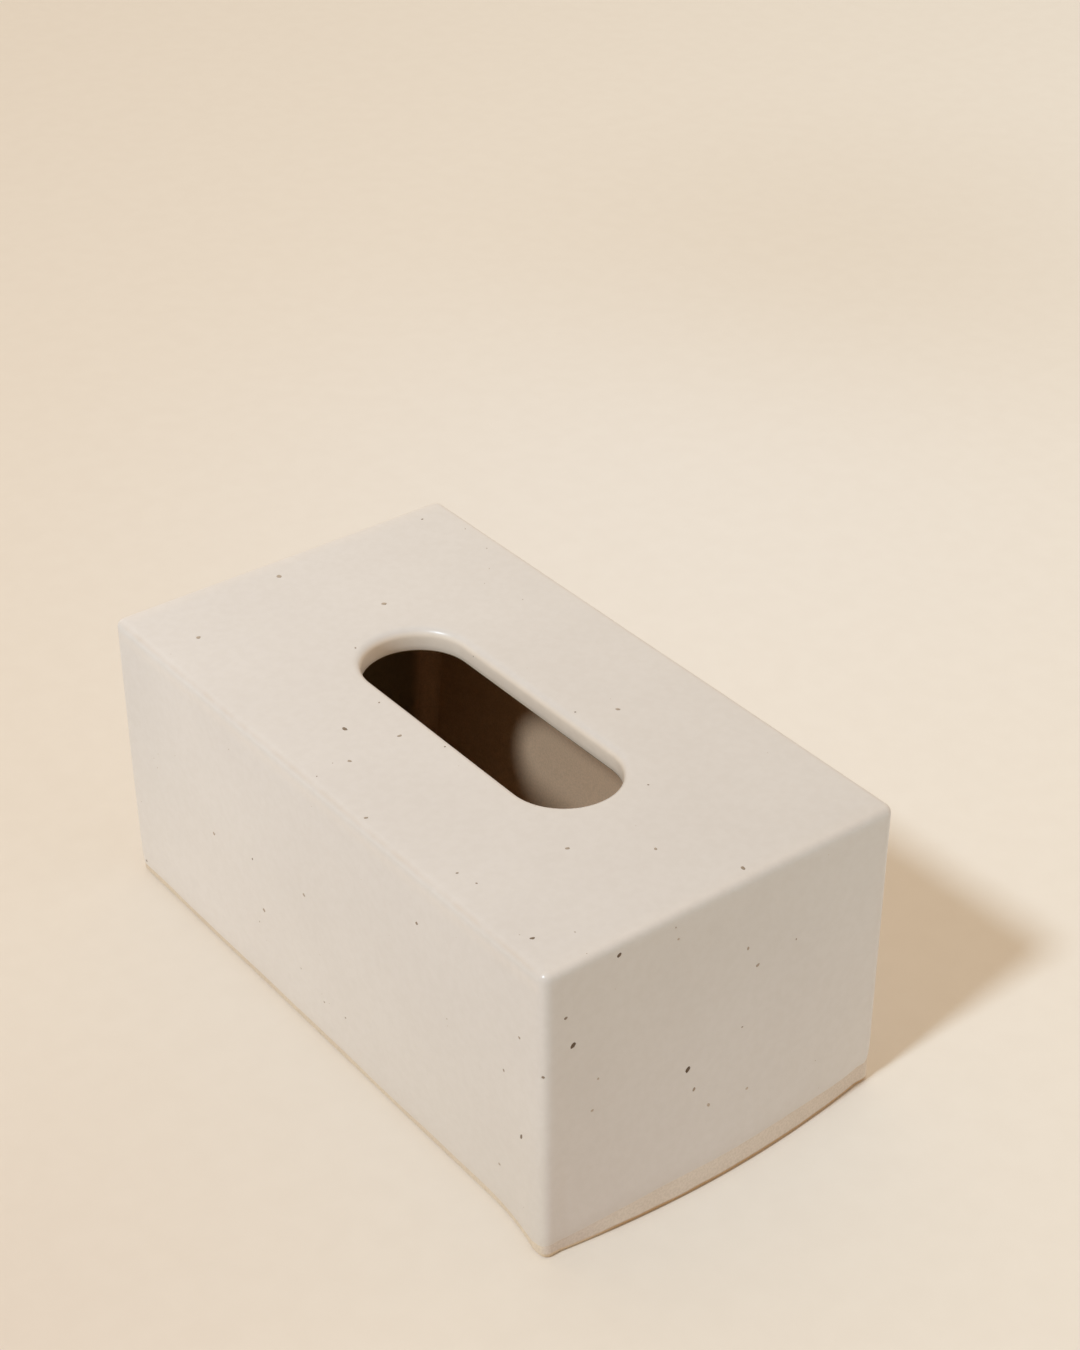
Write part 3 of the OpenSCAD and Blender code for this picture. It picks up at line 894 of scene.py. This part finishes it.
# The table it stands on: a wide, plain, pale surface with the faintest tooth, with painted light and shade
# that drift a little from the near side to the far side and from left to right.
def make_table():
    """Painted light and shade: the surface's tone is painted to fall off a little with distance, with a few
    wide, faint painted patches of light and shade.
    """
    material, tree, shader = start_material("pale_table")
    where = place_on_piece(tree)
    x, y, _ = parts_of(tree, where)
    # Painted light and shade: the tone falls off over the table in these drifts and patches
    painted_falloff = less(tree, times(tree, y, 0.3), x)
    pale = mixed(tree, ranged(tree, painted_falloff, -0.1, 1.4), (0.857, 0.822, 0.775), (0.818, 0.781, 0.72))
    across = plus(tree, times(tree, x, 0.55), times(tree, y, 0.84))
    across = ranged(tree, across, -0.3, 0.45, shape="LINEAR")
    pale = tinted(tree, pale, mixed(tree, across, (0.956, 0.895, 0.848), (1.034, 1.017, 1.0)))
    back = ranged(tree, y, -0.3, 1.0, shape="LINEAR")
    pale = tinted(tree, pale, mixed(tree, back, (1.016, 1.018, 1.016), (0.95, 0.942, 0.946)))
    for middle, reach, tint in (
        ((-0.25, 0.25, 0), 0.36, (1.008, 1.035, 1.08)), ((-0.38, 0.56, 0), 0.3, (0.955, 0.94, 0.92)),
        ((0.05, -0.27, 0), 0.22, (0.95, 0.93, 0.925)),
    ):
        off = vector_worked(tree, "DISTANCE", where, middle)
        pale = tinted(tree, pale, mixed(tree, ranged(tree, off, 0.0, reach), tint, (1, 1, 1)))
    tooth = clouded(tree, (0.992, 0.99, 0.988), (1.006, 1.007, 1.008), 0.012, 4.0)
    tree.links.new(tinted(tree, pale, tooth), shader.inputs["Base Color"])
    shader.inputs["Roughness"].default_value = 0.85
    shader.inputs["Specular IOR Level"].default_value = 0.2
    mesh = bpy.data.meshes.new("table")
    wide = 6
    corners = [(-wide, -wide, 0), (wide, -wide, 0), (wide, wide, 0), (-wide, wide, 0)]
    mesh.from_pydata(corners, [], [(0, 1, 2, 3)])
    mesh.materials.append(material)
    table = bpy.data.objects.new("table", mesh)
    scene.collection.objects.link(table)


make_table()


# The light: a tall window in front, a little to the right and well up, with a bright pale room all round, and
# a pale backdrop where the camera sees past the table.
window = bpy.data.lights.new("window", "SUN")
window.energy = 1.838
window.color = (0.7187, 0.8812, 1.0)
window.angle = math.radians(7.5)
window_light = bpy.data.objects.new("window_light", window)
window_light.rotation_euler = Vector((-0.0705, 0.671, -0.738)).to_track_quat("-Z", "Y").to_euler()
scene.collection.objects.link(window_light)

room = bpy.data.worlds.new("room")
scene.world = room
room.use_nodes = True
tree = room.node_tree
room_light = tree.nodes["Background"]
inwards = add_node(tree, "ShaderNodeNewGeometry").outputs["Incoming"]
levels = {}
# Red, green and blue: the way in which the room's light comes in strongest, and its level in the middle
for channel, (brightest, middle) in enumerate((
    ((0.151, -0.229, 0.042), 0.709), ((0.109, -0.260, 0.043), 0.578), ((0.061, -0.279, 0.084), 0.454),
)):
    level = plus(tree, vector_worked(tree, "DOT_PRODUCT", inwards, brightest), middle)
    levels[channel] = worked(tree, "MAXIMUM", level, 0.02)
room_color = add_node(tree, "ShaderNodeCombineColor", levels).outputs[0]
seen = add_node(tree, "ShaderNodeLightPath").outputs["Is Camera Ray"]
room_color = mixed(tree, seen, room_color, (0.82, 0.75, 0.66))
tree.links.new(room_color, room_light.inputs["Color"])
